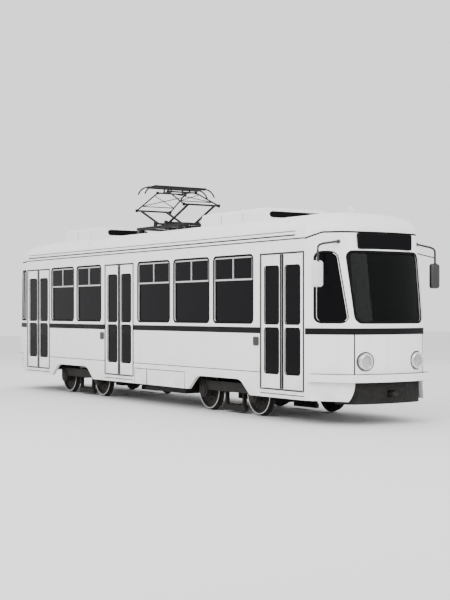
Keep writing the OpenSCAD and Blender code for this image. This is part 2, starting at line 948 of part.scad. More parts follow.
module roof_box(x0, x1, half, box_top_z) {
  difference() {
    along(x0, x1) rounded([-half, gutter_z + 150], [half, box_top_z], 60);
    along(x0 - 1, x1 + 1) roof_section(seat_gap);
    // Ends that slope inwards
    for (s = [[x0, 1], [x1, -1]])
      across(-far, far)
        polygon([[s[0] - s[1], gutter_z], [s[0] + s[1] * 110, box_top_z + 1], [s[0] - s[1], box_top_z + 1]]);
  }
}

module roof_boxes() {
  color("whitesmoke") {
    roof_box(1420, 3560, 640, 3405);
    roof_box(-4250, -2280, 560, 3440);
  }
}

lamp_x = front_x - 980;
module roof_lamp() {
  color("white")
    translate([lamp_x, 0, roof_z]) {
      cylinder(h = 40, r = 75);
      translate([0, 0, 40]) intersection() {
        sphere(75);
        translate([0, 0, 75]) cube(150, center = true);
      }
    }
}

pivot_z = 3395;
base_half = 900;
base_y = 360;
lower_y = 290;
upper_y = 385;
top_y = 310;
knuckle_r = 18;
top_r = 15;
arm_r = 22;
upper_r = 14;
knuckle_x = pivot_half + arm_len * cos(arm_angle);
knuckle_z = pivot_z + arm_len * sin(arm_angle);
top_z = pivot_z + 2 * arm_len * sin(arm_angle);

module pantograph_base() {
  color("black")
    translate([panto_x, 0, 0])
      difference() {
        union() {
          both_sides() {
            block([-base_half, base_y - 25, 3300], [base_half, base_y + 25, 3350]);
            for (x = [-1, 1] * pivot_half)
              block([x - 45, base_y - 15, 3340], [x + 45, base_y + 15, pivot_z + 35]);
          }
          for (x = [-base_half, -300, 260, base_half - 40])
            block([x, -base_y, 3305], [x + 40, base_y, 3345]);
          both_sides() for (x = [-1, 1] * (base_half - 150))
            translate([x, base_y, gutter_z + 200]) cylinder(h = 3301 - gutter_z - 200, r = 50);
        }
        for (x = [-1, 1] * pivot_half) cross_bar(x, pivot_z, -far, far, 20 + seat_gap);
        along(-far, far) roof_section(seat_gap);
      }
}

// Arms on one side of the middle; the front ones are the mirror image of the rear ones
module lower_arms() {
  cross_bar(pivot_half, pivot_z, -base_y - 20, base_y + 20, 20);
  cross_bar(knuckle_x, knuckle_z, -upper_y - 25, upper_y + 25, knuckle_r);
  both_sides() tube([pivot_half, lower_y, pivot_z], [knuckle_x, lower_y, knuckle_z], arm_r);
}

module upper_arms() {
  difference() {
    union() {
      both_sides() {
        cross_bar(knuckle_x, knuckle_z, upper_y - 15, upper_y + 15, knuckle_r + 14);
        cross_bar(pivot_half, top_z, top_y - 15, top_y + 15, top_r + 14);
        tube([knuckle_x, upper_y, knuckle_z], [pivot_half, top_y, top_z], upper_r);
      }
      // Brace between the two arms, and a diagonal each way
      y_brace = upper_y + 0.25 * (top_y - upper_y);
      brace = [knuckle_x + 0.25 * (pivot_half - knuckle_x), 0, knuckle_z + 0.25 * (top_z - knuckle_z)];
      high = [knuckle_x + 0.85 * (pivot_half - knuckle_x), 0, knuckle_z + 0.85 * (top_z - knuckle_z)];
      y_high = upper_y + 0.85 * (top_y - upper_y);
      tube(brace + [0, -y_brace, 0], brace + [0, y_brace, 0], 9);
      for (s = [-1, 1]) tube(brace + [0, s * y_brace, 0], high - [0, s * y_high, 0], 8);
    }
    cross_bar(knuckle_x, knuckle_z, -far, far, knuckle_r + seat_gap);
    cross_bar(pivot_half, top_z, -far, far, top_r + seat_gap);
  }
}

strip_x = 130;
strip_half = 560;
strip_z = [66, 111];
horn_r = 230;
horn_angle = 70;
module collector_head() {
  color("black")
    translate([panto_x, 0, top_z]) {
      for (x = [-1, 1] * pivot_half) cross_bar(x, 0, -top_y - 30, top_y + 30, top_r);
      both_sides() block([-pivot_half, 190, -12], [pivot_half, 220, 12]);
      for (x = [-1, 1] * strip_x) {
        block([x - 28, -strip_half - 5, strip_z[0]], [x + 28, strip_half + 5, strip_z[1]]);
        both_sides() {
          block([x - 12, 193, 0], [x + 12, 217, strip_z[0] + 1]);
          translate([x, strip_half, (strip_z[0] + strip_z[1]) / 2 - horn_r])
            rotate([90, 0, 90])
              rotate([0, 0, 90 - horn_angle])
                rotate_extrude(angle = horn_angle) translate([horn_r, 0]) circle(14);
        }
      }
    }
}

// ---------- The named pieces ----------

roof();
front_roof();
rear_roof();
right_wall();
left_wall();
nose();
tail();
floor();
underframe();
step_treads();
step_risers();
step_ends();
floor_panels();
skirt_hatches();
bumpers();
front_valance();
couplers();
underfloor_box();
windscreen();
rear_window();
right_windows();
left_windows();
window_vents();
front_leaf(doors[0]);  // front_door_front_leaf
front_glass(doors[0]);  // front_door_front_glass
rear_leaf(doors[0]);  // front_door_rear_leaf
rear_glass(doors[0]);  // front_door_rear_glass
front_leaf(doors[1]);  // middle_door_front_leaf
front_glass(doors[1]);  // middle_door_front_glass
rear_leaf(doors[1]);  // middle_door_rear_leaf
rear_glass(doors[1]);  // middle_door_rear_glass
front_leaf(doors[2]);  // rear_door_front_leaf
front_glass(doors[2]);  // rear_door_front_glass
rear_leaf(doors[2]);  // rear_door_rear_leaf
rear_glass(doors[2]);  // rear_door_rear_glass
bogie_frame(pivot_spacing / 2);  // front_bogie_frame
bogie_frame(-pivot_spacing / 2);  // rear_bogie_frame
wheelset(axle_x(0));  // wheelset_1
wheelset(axle_x(1));  // wheelset_2
wheelset(axle_x(2));  // wheelset_3
wheelset(axle_x(3));  // wheelset_4
seats();
grab_poles();
driver_desk();
cab_partition();
sun_blind();
roof_boxes();
roof_lamp();
pantograph_base();
color("black") translate([panto_x, 0, 0]) lower_arms();  // front_lower_arms
color("black") translate([panto_x, 0, 0]) mirror([1, 0, 0]) lower_arms();  // rear_lower_arms
color("black") translate([panto_x, 0, 0]) upper_arms();  // front_upper_arms
color("black") translate([panto_x, 0, 0]) mirror([1, 0, 0]) upper_arms();  // rear_upper_arms
collector_head();
mirrors();
headlights();
headlight_lenses();
tail_lights();
side_indicators();
destination_sign();
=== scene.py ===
"""Looks of a single-ended tram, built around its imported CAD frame. Metres, +X forward, +Z up."""

import math

import bmesh
import bpy
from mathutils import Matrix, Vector
from mathutils.bvhtree import BVHTree


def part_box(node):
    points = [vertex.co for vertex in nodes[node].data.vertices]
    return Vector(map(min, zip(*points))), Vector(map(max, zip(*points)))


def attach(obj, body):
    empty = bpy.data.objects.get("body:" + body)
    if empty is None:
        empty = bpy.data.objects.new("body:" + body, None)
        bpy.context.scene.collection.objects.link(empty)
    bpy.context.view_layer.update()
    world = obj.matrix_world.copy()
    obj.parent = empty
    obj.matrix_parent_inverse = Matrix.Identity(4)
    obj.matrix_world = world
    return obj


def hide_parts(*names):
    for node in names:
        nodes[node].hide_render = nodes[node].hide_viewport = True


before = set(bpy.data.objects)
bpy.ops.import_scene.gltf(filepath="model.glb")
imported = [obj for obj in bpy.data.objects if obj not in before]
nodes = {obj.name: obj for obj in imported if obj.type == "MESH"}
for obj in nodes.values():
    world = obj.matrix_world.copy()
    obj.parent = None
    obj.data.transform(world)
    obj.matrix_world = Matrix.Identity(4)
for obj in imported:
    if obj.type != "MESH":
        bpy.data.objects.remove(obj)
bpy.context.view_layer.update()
CAR = "car_body"

# ---------- Driving sizes, from the frame ----------

HALF_W = -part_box("right_wall")[0].y
WALL_REAR, WALL_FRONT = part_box("right_wall")[0].x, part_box("right_wall")[1].x
GUTTER_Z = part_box("right_wall")[1].z
MASK_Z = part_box("nose")[1].z
RAMP_X = WALL_FRONT + 0.200
BUMPER_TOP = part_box("bumpers")[1].z
DOORS = ["front_door", "middle_door", "rear_door"]
LEAVES = [f"{door}_{end}" for door in DOORS for end in ("front", "rear")]
LEAF_GAP = 0.008
STRIPE = (1.355, 1.450)
SEAM_Z = 0.740
WHEEL_R = 0.330
GASKET = 0.030
PROUD = 0.004
LET_IN = 0.002
DOOR_SILL, DOOR_HEAD = 0.500, 2.590
JAMB = 0.030
STEP_LINE = (0.418, 0.430)
SEAM_W, SEAM_PROUD = 0.011, 0.0012
NOSE_SEAM_Y, NOSE_SEAM_W = 0.668, 0.016
ROOF_JOINTS_X = (4.55, -4.75, 0.9, -2.2)
ROOF_JOINT_REACH = 1.06

# ---------- Materials ----------


def new_material(name):
    material = bpy.data.materials.new(name)
    material.use_nodes = True
    tree = material.node_tree
    return material, tree, tree.nodes["Principled BSDF"]


def noise(tree, scale, detail=4.0, stretch=(1, 1, 1)):
    """Noise texture in the object's own metres."""
    coords = tree.nodes.new("ShaderNodeTexCoord")
    mapping = tree.nodes.new("ShaderNodeMapping")
    mapping.inputs["Scale"].default_value = stretch
    texture = tree.nodes.new("ShaderNodeTexNoise")
    texture.inputs["Scale"].default_value = scale
    texture.inputs["Detail"].default_value = detail
    tree.links.new(coords.outputs["Object"], mapping.inputs["Vector"])
    tree.links.new(mapping.outputs["Vector"], texture.inputs["Vector"])
    return texture.outputs["Fac"]


def map_range(tree, value, low, high, to_low, to_high):
    node = tree.nodes.new("ShaderNodeMapRange")
    tree.links.new(value, node.inputs["Value"])
    for socket, number in (("From Min", low), ("From Max", high), ("To Min", to_low), ("To Max", to_high)):
        node.inputs[socket].default_value = number
    return node.outputs["Result"]


def mix_colours(tree, factor, a, b):
    node = tree.nodes.new("ShaderNodeMix")
    node.data_type = "RGBA"
    tree.links.new(factor, node.inputs["Factor"])
    for socket, colour in (("A", a), ("B", b)):
        target = [s for s in node.inputs if s.name == socket and s.type == "RGBA"][0]
        if isinstance(colour, tuple):
            target.default_value = (*colour, 1)
        else:
            tree.links.new(colour, target)
    return [s for s in node.outputs if s.type == "RGBA"][0]


def add_bump(tree, shader, height, strength, distance):
    bump = tree.nodes.new("ShaderNodeBump")
    bump.inputs["Strength"].default_value = strength
    bump.inputs["Distance"].default_value = distance
    tree.links.new(height, bump.inputs["Height"])
    tree.links.new(bump.outputs["Normal"], shader.inputs["Normal"])


def product(tree, a, b):
    node = tree.nodes.new("ShaderNodeMath")
    node.operation = "MULTIPLY"
    tree.links.new(a, node.inputs[0])
    tree.links.new(b, node.inputs[1])
    return node.outputs[0]


def height_of(tree):
    coords = tree.nodes.new("ShaderNodeTexCoord")
    split = tree.nodes.new("ShaderNodeSeparateXYZ")
    tree.links.new(coords.outputs["Object"], split.inputs[0])
    return split.outputs["Z"]


def paint(name, colour, rough=0.28, coat=0.35, dirt=(0.32, 0.29, 0.25), dirt_low=0.3, dirt_high=0.95,
          specular=0.5):
    """Coach paint: faint mottling, orange peel, rain streaks, and road dirt that fades out upwards."""
    material, tree, shader = new_material(name)
    mottled = mix_colours(tree, noise(tree, 0.9), colour, tuple(0.94 * c for c in colour))
    streaks = map_range(tree, noise(tree, 7, 3, (1, 1, 0.06)), 0.52, 0.8, 0, 0.16)
    streaked = mix_colours(tree, streaks, mottled, dirt)
    fade = map_range(tree, height_of(tree), dirt_high, dirt_low, 0, 0.55)
    grime = product(tree, fade, map_range(tree, noise(tree, 5, 8), 0.35, 0.7, 0.15, 1))
    tree.links.new(mix_colours(tree, grime, streaked, dirt), shader.inputs["Base Color"])
    tree.links.new(map_range(tree, noise(tree, 3, 6), 0.3, 0.7, rough, rough + 0.14),
                   shader.inputs["Roughness"])
    shader.inputs["Coat Weight"].default_value = coat
    shader.inputs["Specular IOR Level"].default_value = specular
    shader.inputs["Coat Roughness"].default_value = 0.12
    add_bump(tree, shader, noise(tree, 160, 2), 0.035, 0.002)
    return material


def plastic(name, colour, rough=0.5, grain=600, bump=0.15, specular=0.5):
    material, tree, shader = new_material(name)
    shader.inputs["Specular IOR Level"].default_value = specular
    tree.links.new(mix_colours(tree, noise(tree, 6), colour, tuple(0.8 * c for c in colour)),
                   shader.inputs["Base Color"])
    tree.links.new(map_range(tree, noise(tree, 25, 6), 0.3, 0.7, rough - 0.08, rough + 0.1),
                   shader.inputs["Roughness"])
    add_bump(tree, shader, noise(tree, grain, 2), bump, 0.001)
    return material


def metal(name, colour, rough=0.3, stretch=(1, 1, 1), scale=60, metallic=1.0, wear=0.75):
    material, tree, shader = new_material(name)
    tree.links.new(mix_colours(tree, noise(tree, scale / 6, 8), colour, tuple(wear * c for c in colour)),
                   shader.inputs["Base Color"])
    shader.inputs["Metallic"].default_value = metallic
    tree.links.new(map_range(tree, noise(tree, scale, 6, stretch), 0.3, 0.7, rough, rough + 0.2),
                   shader.inputs["Roughness"])
    add_bump(tree, shader, noise(tree, scale * 4, 3, stretch), 0.08, 0.001)
    return material


def iron(name, colour):
    """Painted casting with brake dust and rust blooming through."""
    material, tree, shader = new_material(name)
    dusty = mix_colours(tree, map_range(tree, noise(tree, 8, 8), 0.42, 0.75, 0, 0.4), colour,
                        (0.035, 0.028, 0.022))
    tree.links.new(dusty, shader.inputs["Base Color"])
    shader.inputs["Specular IOR Level"].default_value = 0.15
    tree.links.new(map_range(tree, noise(tree, 30, 6), 0.3, 0.7, 0.5, 0.85), shader.inputs["Roughness"])
    add_bump(tree, shader, noise(tree, 140, 6), 0.3, 0.003)
    return material


def glass(name, colour, alpha, rough=0.03, specular=0.06):
    material, tree, shader = new_material(name)
    smears = mix_colours(tree, noise(tree, 2.5, 5), colour, tuple(0.7 * c for c in colour))
    tree.links.new(smears, shader.inputs["Base Color"])
    tree.links.new(map_range(tree, noise(tree, 4, 7), 0.4, 0.75, rough, rough + 0.07),
                   shader.inputs["Roughness"])
    shader.inputs["Alpha"].default_value = alpha
    shader.inputs["Specular IOR Level"].default_value = specular
    return material


def studded_floor(name):
    """Rubber floor covering with round studs and trodden dust."""
    material, tree, shader = new_material(name)
    coords = tree.nodes.new("ShaderNodeTexCoord")
    cells = tree.nodes.new("ShaderNodeTexVoronoi")
    cells.inputs["Scale"].default_value = 28
    cells.inputs["Randomness"].default_value = 0
    tree.links.new(coords.outputs["Object"], cells.inputs["Vector"])
    studs = map_range(tree, cells.outputs["Distance"], 0.28, 0.36, 1, 0)
    tree.links.new(mix_colours(tree, noise(tree, 3, 6), (0.055, 0.055, 0.06), (0.12, 0.11, 0.10)),
                   shader.inputs["Base Color"])
    shader.inputs["Roughness"].default_value = 0.75
    add_bump(tree, shader, studs, 0.5, 0.003)
    return material


WHITE = paint("white_coach_paint", (0.91, 0.91, 0.90), dirt=(0.50, 0.48, 0.45))
ROOF_WHITE = paint("roof_paint", (0.89, 0.89, 0.88), rough=0.4, coat=0.1, dirt=(0.55, 0.53, 0.50))
BLACK = paint("black_stripe_paint", (0.004, 0.004, 0.005), rough=0.5, coat=0.0, dirt=(0.012, 0.011, 0.010),
              specular=0.12)
CHASSIS = iron("chassis_paint", (0.012, 0.012, 0.012))
BOGIE = iron("bogie_casting", (0.018, 0.017, 0.016))
# Black rubber. The same material also paints the shadow lines along the gutters.
RUBBER_AND_SHADOW = plastic("black_rubber_and_painted_shadow", (0.005, 0.005, 0.005), 0.75, 350, 0.2, specular=0.08)
SEAM = plastic("seam_shadow", (0.006, 0.006, 0.006), 0.85, 350, 0.1, specular=0.05)
# Near-opaque black glass: a dark tint, darkened further as painted shade of the inside behind it.
WINDOW = glass("dark_tinted_window_with_painted_inside_shade", (0.003, 0.003, 0.004), 0.97)
# The windscreen glass is darkened to near-black as well: painted shade of the cab behind it.
SCREEN = glass("windscreen_glass", (0.004, 0.005, 0.005), 0.84)
LENS = glass("lamp_glass", (0.80, 0.83, 0.85), 0.35, specular=0.6)
CHROME = metal("chrome", (0.80, 0.80, 0.82), 0.08, scale=30, wear=0.9)
ALUMINIUM = metal("vent_frame_metal", (0.78, 0.78, 0.78), 0.35, (20, 1, 1), 40)
STEEL = metal("pole_steel", (0.62, 0.62, 0.63), 0.18, (8, 8, 0.4), 60)
# Bright steel. On the turned wheels it only makes the thin ring that paints a highlight on each tyre's rim.
TREAD_STEEL_AND_RIM_HIGHLIGHT = metal("tread_steel_and_painted_rim_highlight", (0.55, 0.54, 0.53), 0.16, (1, 1, 1), 90)
# Near-black wheel paint. On the tyres it is painted shade under the car.
WHEEL_PAINT_AND_TYRE_SHADE = iron("wheel_paint_and_painted_tyre_shade", (0.014, 0.013, 0.012))
COPPER = metal("contact_strip", (0.30, 0.20, 0.14), 0.35)
PANTO = paint("pantograph_paint", (0.012, 0.012, 0.013), rough=0.45, coat=0.0, dirt=(0.02, 0.018, 0.016),
              specular=0.15)
INSULATOR = plastic("glazed_insulator", (0.030, 0.016, 0.012), 0.18, 60, 0.02)
SEAT = plastic("seat_shell", (0.16, 0.055, 0.022), 0.38, 500, 0.15)
DESK = plastic("desk_shell", (0.045, 0.047, 0.050), 0.55, 700, 0.3)
PANEL = plastic("partition_laminate", (0.50, 0.49, 0.45), 0.45, 300, 0.1)
BLIND = plastic("sun_blind_vinyl", (0.82, 0.81, 0.77), 0.5, 450, 0.25)
LAMP = plastic("white_lamp_cover", (0.80, 0.80, 0.77), 0.22, 80, 0.03)
RED = plastic("red_lens", (0.28, 0.008, 0.008), 0.15, 90, 0.2)
DARK_LENS = plastic("dark_lamp_lens", (0.02, 0.018, 0.016), 0.2, 90, 0.15)
SIGN = glass("sign_glass", (0.004, 0.004, 0.005), 1.0, 0.06)
CASING = plastic("mirror_casing", (0.018, 0.018, 0.019), 0.4, 500, 0.2)
# A white copy of the black mirror casing: painted light on the right mirror's back.
LIT_MIRROR_CASING = plastic("painted_lit_mirror_casing", (0.78, 0.78, 0.76), 0.35, 500, 0.1)
SILVERED = metal("mirror_silvering", (0.92, 0.93, 0.94), 0.02, wear=0.98)
STUDS = studded_floor("floor_studs")

CAD_LOOKS = {
    "roof": ROOF_WHITE, "front_roof": ROOF_WHITE, "rear_roof": ROOF_WHITE, "right_wall": WHITE,
    "left_wall": WHITE, "nose": WHITE, "tail": WHITE, "skirt_hatches": WHITE, "bumpers": WHITE,
    "roof_boxes": ROOF_WHITE, "floor": STUDS, "floor_panels": STUDS, "step_treads": STUDS,
    "step_risers": STUDS, "step_ends": CHASSIS, "underframe": CHASSIS, "front_valance": CHASSIS,
    "couplers": BOGIE, "underfloor_box": CHASSIS, "windscreen": SCREEN, "rear_window": WINDOW,
    "right_windows": WINDOW, "left_windows": WINDOW, "window_vents": ALUMINIUM, "front_bogie_frame": BOGIE,
    "rear_bogie_frame": BOGIE, "grab_poles": STEEL, "driver_desk": DESK, "cab_partition": PANEL,
    "sun_blind": BLIND, "roof_lamp": LAMP, "pantograph_base": PANTO, "front_lower_arms": PANTO,
    "rear_lower_arms": PANTO, "front_upper_arms": PANTO, "rear_upper_arms": PANTO, "collector_head": PANTO,
    "headlights": CHROME, "headlight_lenses": LENS, "tail_lights": RED, "side_indicators": DARK_LENS,
    "destination_sign": SIGN, "seats": SEAT, "mirrors": CASING,
}
for leaf in LEAVES:
    CAD_LOOKS[f"{leaf}_leaf"] = WHITE
    CAD_LOOKS[f"{leaf}_glass"] = WINDOW
for number in range(1, 5):
    CAD_LOOKS[f"wheelset_{number}"] = TREAD_STEEL_AND_RIM_HIGHLIGHT
SMOOTH_ANGLE = math.radians(32)
for name, look in CAD_LOOKS.items():
    mesh = nodes[name].data
    mesh.materials.clear()
    mesh.materials.append(look)
    mesh.shade_smooth()
    mesh.set_sharp_from_angle(angle=SMOOTH_ANGLE)

# ---------- Making meshes ----------


def linked(name, data):
    """A new object in the scene."""
    made = bpy.data.objects.new(name, data)
    bpy.context.scene.collection.objects.link(made)
    return made


def angles(count):
    """Equal steps round a full turn."""
    return [math.tau * k / count for k in range(count)]


def piece(name, verts, faces, looks, body=CAR, slot=None, smooth=True, bevel=0.0):
    """A new mesh that rides on a body. looks is a material, or a pair: materials, and an index a face."""
    mesh = bpy.data.meshes.new(name)
    mesh.from_pydata([tuple(v) for v in verts], [], faces)
    materials, indices = looks if isinstance(looks, tuple) else ([looks], None)
    for material in materials:
        mesh.materials.append(material)
    if indices:
        mesh.polygons.foreach_set("material_index", indices)
    shape = bmesh.new()
    shape.from_mesh(mesh)
    bmesh.ops.recalc_face_normals(shape, faces=shape.faces)
    shape.to_mesh(mesh)
    shape.free()
    if smooth:
        mesh.shade_smooth()
        mesh.set_sharp_from_angle(angle=SMOOTH_ANGLE)
    made = linked(name, mesh)
    if bevel:
        rounding = made.modifiers.new("rounding", "BEVEL")
        rounding.width = bevel
        rounding.segments = 3
        rounding.limit_method = "ANGLE"
        rounding.angle_limit = SMOOTH_ANGLE
        rounding.harden_normals = False
    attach(made, body)
    return made


class Build:
    """Collects closed shapes into one mesh."""

    def __init__(self):
        self.verts, self.faces, self.marks = [], [], []

    def add(self, verts, faces, mark=0):
        start = len(self.verts)
        self.verts += [Vector(v) for v in verts]
        self.faces += [[start + i for i in f] for f in faces]
        self.marks += [mark] * len(faces)

    def block(self, low, high, mark=0):
        corners = [(x, y, z) for x in (low[0], high[0]) for y in (low[1], high[1]) for z in (low[2], high[2])]
        faces = [(0, 1, 3, 2), (4, 6, 7, 5), (0, 4, 5, 1), (2, 3, 7, 6), (0, 2, 6, 4), (1, 5, 7, 3)]
        self.add(corners, faces, mark)

    def grid(self, rows, closed_rows=False, caps=True, mark=0):
        """Rows of points of equal number, each row a closed loop."""
        n, m = len(rows[0]), len(rows)
        faces = []
        for j in range(m if closed_rows else m - 1):
            for i in range(n):
                k, l = (j + 1) % m, (i + 1) % n
                faces.append((j * n + i, j * n + l, k * n + l, k * n + i))
        if caps and not closed_rows:
            faces += [tuple(range(n))[::-1], tuple((m - 1) * n + i for i in range(n))]
        self.add([p for row in rows for p in row], faces, mark)

    def sweep(self, path, section, up=Vector((0, 0, 1)), closed=False, mark=0):
        """A section of (across, up) points carried along a path."""
        rows = []
        count = len(path)
        for i, p in enumerate(path):
            before = path[(i - 1) % count] if closed or i else p
            after = path[(i + 1) % count] if closed or i < count - 1 else p
            along = (after - before).normalized()
            side = along.cross(up)
            side = side.normalized() if side.length > 1e-6 else Vector((1, 0, 0))
            top = side.cross(along).normalized()
            rows.append([p + side * a + top * b for a, b in section])
        self.grid(rows, closed_rows=closed, mark=mark)

    def tube(self, path, radius, sides=14, closed=False, mark=0):
        section = [(radius * math.cos(t), radius * math.sin(t)) for t in angles(sides)]
        self.sweep([Vector(p) for p in path], section, Vector((0.02, 0.03, 1)), closed, mark)

    def lathe(self, centre, axis, profile, sides=48, mark=0):
        """profile is (radius, distance along the axis), closed onto the axis at both ends."""
        axis = Vector(axis).normalized()
        side = axis.orthogonal().normalized()
        other = axis.cross(side)
        spokes = [side * math.cos(t) + other * math.sin(t) for t in angles(sides)]
        rows = [[Vector(centre) + axis * along + spoke * max(radius, 1e-5) for spoke in spokes]
                for radius, along in profile]
        self.grid(rows, mark=mark)

    def piece(self, name, looks, body=CAR, slot=None, **options):
        if isinstance(looks, list):
            looks = (looks, self.marks)
        return piece(name, self.verts, self.faces, looks, body, slot, **options)


def rounded_loop(low, high, radius, steps=6):
    """Points round a rectangle with round corners."""
    loop = []
    for cx, cy, start in ((high[0] - radius, high[1] - radius, 0), (low[0] + radius, high[1] - radius, 90),
                          (low[0] + radius, low[1] + radius, 180), (high[0] - radius, low[1] + radius, 270)):
        for k in range(steps + 1):
            angle = math.radians(start + 90 * k / steps)
            loop.append((cx + radius * math.cos(angle), cy + radius * math.sin(angle)))
    return loop


def round_quad(corners, radius, steps=6):
    """Points round a quadrilateral with round corners."""
    loop = []
    for i in range(4):
        before, corner, after = (Vector(corners[k % 4]) for k in (i + 3, i, i + 1))
        a = corner + (before - corner).normalized() * radius
        b = corner + (after - corner).normalized() * radius
        loop += [tuple((1 - t) ** 2 * a + 2 * t * (1 - t) * corner + t * t * b)
                 for t in (k / steps for k in range(steps + 1))]
    return loop


def subdivided(loop, longest=0.08):
    """More points along the loop's straight sides, so that it can follow a curved wall."""
    result = []
    for p, q in zip(loop, loop[1:] + loop[:1]):
        length = math.dist(p, q)
        parts = max(1, math.ceil(length / longest))
        result += [(p[0] + (q[0] - p[0]) * k / parts, p[1] + (q[1] - p[1]) * k / parts) for k in range(parts)]
    return result


def offset_loop(loop, distance):
    """Moves a counter-clockwise loop outwards."""
    moved = []
    count = len(loop)
    for i in range(count):
        a, b, c = Vector(loop[i - 1]), Vector(loop[i]), Vector(loop[(i + 1) % count])
        first, second = (b - a).normalized(), (c - b).normalized()
        normal = Vector((first.y + second.y, -first.x - second.x)).normalized()
        half = max(0.5, normal.dot(Vector((first.y, -first.x))))
        moved.append(tuple(b + normal * distance / half))
    return moved


def gasket(build, loop, place, width=GASKET, lap=0.004, proud=PROUD, sunk=0.003, mark=0):
    """A raised frame round a loop. place(u, v, out) gives the point on the wall."""
    loop = subdivided(loop)
    inner, outer = offset_loop(loop, -lap), offset_loop(loop, width)
    mid_in, mid_out = offset_loop(loop, 0.15 * width), offset_loop(loop, 0.8 * width)
    rings = [(inner, -sunk), (inner, 0.6 * proud), (mid_in, proud), (mid_out, proud), (outer, 0.3 * proud),
             (outer, -sunk)]
    build.grid([[place(u, v, out) for u, v in ring] for ring, out in rings], closed_rows=True, mark=mark)


# ---------- Places on the walls ----------


def on_right(u, v, out):
    return Vector((u, -HALF_W - out, v))


def on_left(u, v, out):
    return Vector((u, HALF_W + out, v))


TREES = {}


def tree_of(name):
    if name not in TREES:
        TREES[name] = BVHTree.FromObject(nodes[name], bpy.context.evaluated_depsgraph_get())
    return TREES[name]


PANE_INSET = 0.020
FAR = 20.0
# A ray that slips through the seating gap round a pane is tried again a little to one side
NUDGES = [(0, 0, 0)]
for r in (0.004, 0.012, 0.03):
    NUDGES += [(r, r, 0), (-r, -r, 0), (0, 0, r), (0, 0, -r)]


def cast(wall, panes, start, direction):
    """Distance from start to the outer wall, reading a pane's inset where the wall is cut open."""
    best = None
    for shift in NUDGES:
        for name, inset in [(wall, 0.0)] + [(p, PANE_INSET) for p in panes]:
            hit = tree_of(name).ray_cast(start + Vector(shift), direction)[0]
            if hit is not None:
                distance = (hit - start - Vector(shift)).length - inset
                best = distance if best is None else min(best, distance)
        if best is not None:
            return best
    raise ValueError(f"nothing of {wall} lies on the ray from {tuple(start)}")


def facing(sign, wall, panes):
    """place() for the end that faces sign along X: u is Y and v is Z."""
    def place(u, v, out):
        start = Vector((sign * FAR, u, v))
        distance = cast(wall, panes, start, Vector((-sign, 0, 0)))
        return Vector((sign * (FAR - distance + out), u, v))
    return place


def beside(sign, wall, panes):
    """place() for the side of an end: u is X and v is Z."""
    def place(u, v, out):
        start = Vector((u, sign * FAR, v))
        distance = cast(wall, panes, start, Vector((0, -sign, 0)))
        return Vector((u, sign * (FAR - distance + out), v))
    return place


def islands(name):
    """The separate solids of a CAD node, each as (lowest corner, highest corner)."""
    mesh = nodes[name].data
    parent = list(range(len(mesh.vertices)))

    def root(i):
        while parent[i] != i:
            parent[i] = parent[parent[i]]
            i = parent[i]
        return i

    places = {}
    for v in mesh.vertices:
        key = tuple(round(c, 5) for c in v.co)
        if key in places:
            parent[root(v.index)] = root(places[key])
        places[key] = v.index
    for e in mesh.edges:
        parent[root(e.vertices[0])] = root(e.vertices[1])
    groups = {}
    for v in mesh.vertices:
        groups.setdefault(root(v.index), []).append(v.co)
    return [tuple(Vector([pick(c[k] for c in g) for k in range(3)]) for pick in (min, max))
            for g in groups.values()]


# ---------- Windows, doors and stripes ----------

WINDOW_R = 0.060
PILLAR_RAKE = 11


def side_windows():
    """Gaskets round the windows of both side walls."""
    for side, name, place in (("right", "right_windows", on_right), ("left", "left_windows", on_left)):
        build = Build()
        for low, high in islands(name):
            if low.x < WALL_REAR or high.x > WALL_FRONT:
                continue
            gasket(build, rounded_loop((low.x, low.z), (high.x, high.z), WINDOW_R), place)
        build.piece(f"{side}_window_gaskets", RUBBER_AND_SHADOW, slot="sign_black")


def end_windows():
    """Gaskets on the slanted faces: windscreen, rear window and the four side lights."""
    build = Build()
    low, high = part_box("windscreen")
    foot = high.y - 0.050
    corners = [(high.y, high.z), (-high.y, high.z), (-foot, low.z), (foot, low.z)]
    gasket(build, round_quad(corners, 0.090), facing(1, "nose", ["windscreen"]), width=0.034)
    low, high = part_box("rear_window")
    gasket(build, rounded_loop((low.y, low.z), (high.y, high.z), 0.09), facing(-1, "tail", ["rear_window"]),
           width=0.028)
    for name, sign in (("right_windows", -1), ("left_windows", 1)):
        for low, high in islands(name):
            if high.x < WALL_REAR:
                gasket(build, rounded_loop((low.x, low.z), (high.x, high.z), WINDOW_R),
                       beside(sign, "tail", [name]))
            elif low.x > WALL_FRONT:
                gasket(build, light_loop(low, high), beside(sign, "nose", [name]))
    build.piece("end_window_gaskets", RUBBER_AND_SHADOW, slot="sign_black")


def light_loop(low, high):
    """The cab side light: upright behind, slanted in front along the windscreen pillar."""
    slant = (high.z - low.z) * math.tan(math.radians(PILLAR_RAKE))
    foot = high.x + 0.004
    return round_quad([(foot - slant, high.z), (low.x, high.z), (low.x, low.z), (foot, low.z)], 0.090)


def leaf_parts():
    """Rubber round each leaf's windows, and a strip where two leaves meet."""
    for leaf in LEAVES:
        low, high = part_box(f"{leaf}_leaf")
        outer_y = low.y
        panes = islands(f"{leaf}_glass")
        bottom, top = min(p[0].z for p in panes) - 0.23, max(p[1].z for p in panes) + 0.18

        def place(u, v, out):
            return Vector((u, outer_y - out, v))

        build = Build()
        for a, b in panes:
            gasket(build, rounded_loop((a.x, a.z), (b.x, b.z), 0.045), place, width=0.016, proud=0.003)
        towards_rear = leaf.endswith("front")
        meeting = low.x if towards_rear else high.x
        inward = 1 if towards_rear else -1
        strip = sorted((meeting, meeting + inward * 0.042))
        build.block((strip[0], outer_y - 0.003, bottom), (strip[1], outer_y + 0.001, top))
        build.piece(f"{leaf}_leaf_rubbers", RUBBER_AND_SHADOW, body=f"{leaf}_leaf", slot="sign_black", bevel=0.0015)


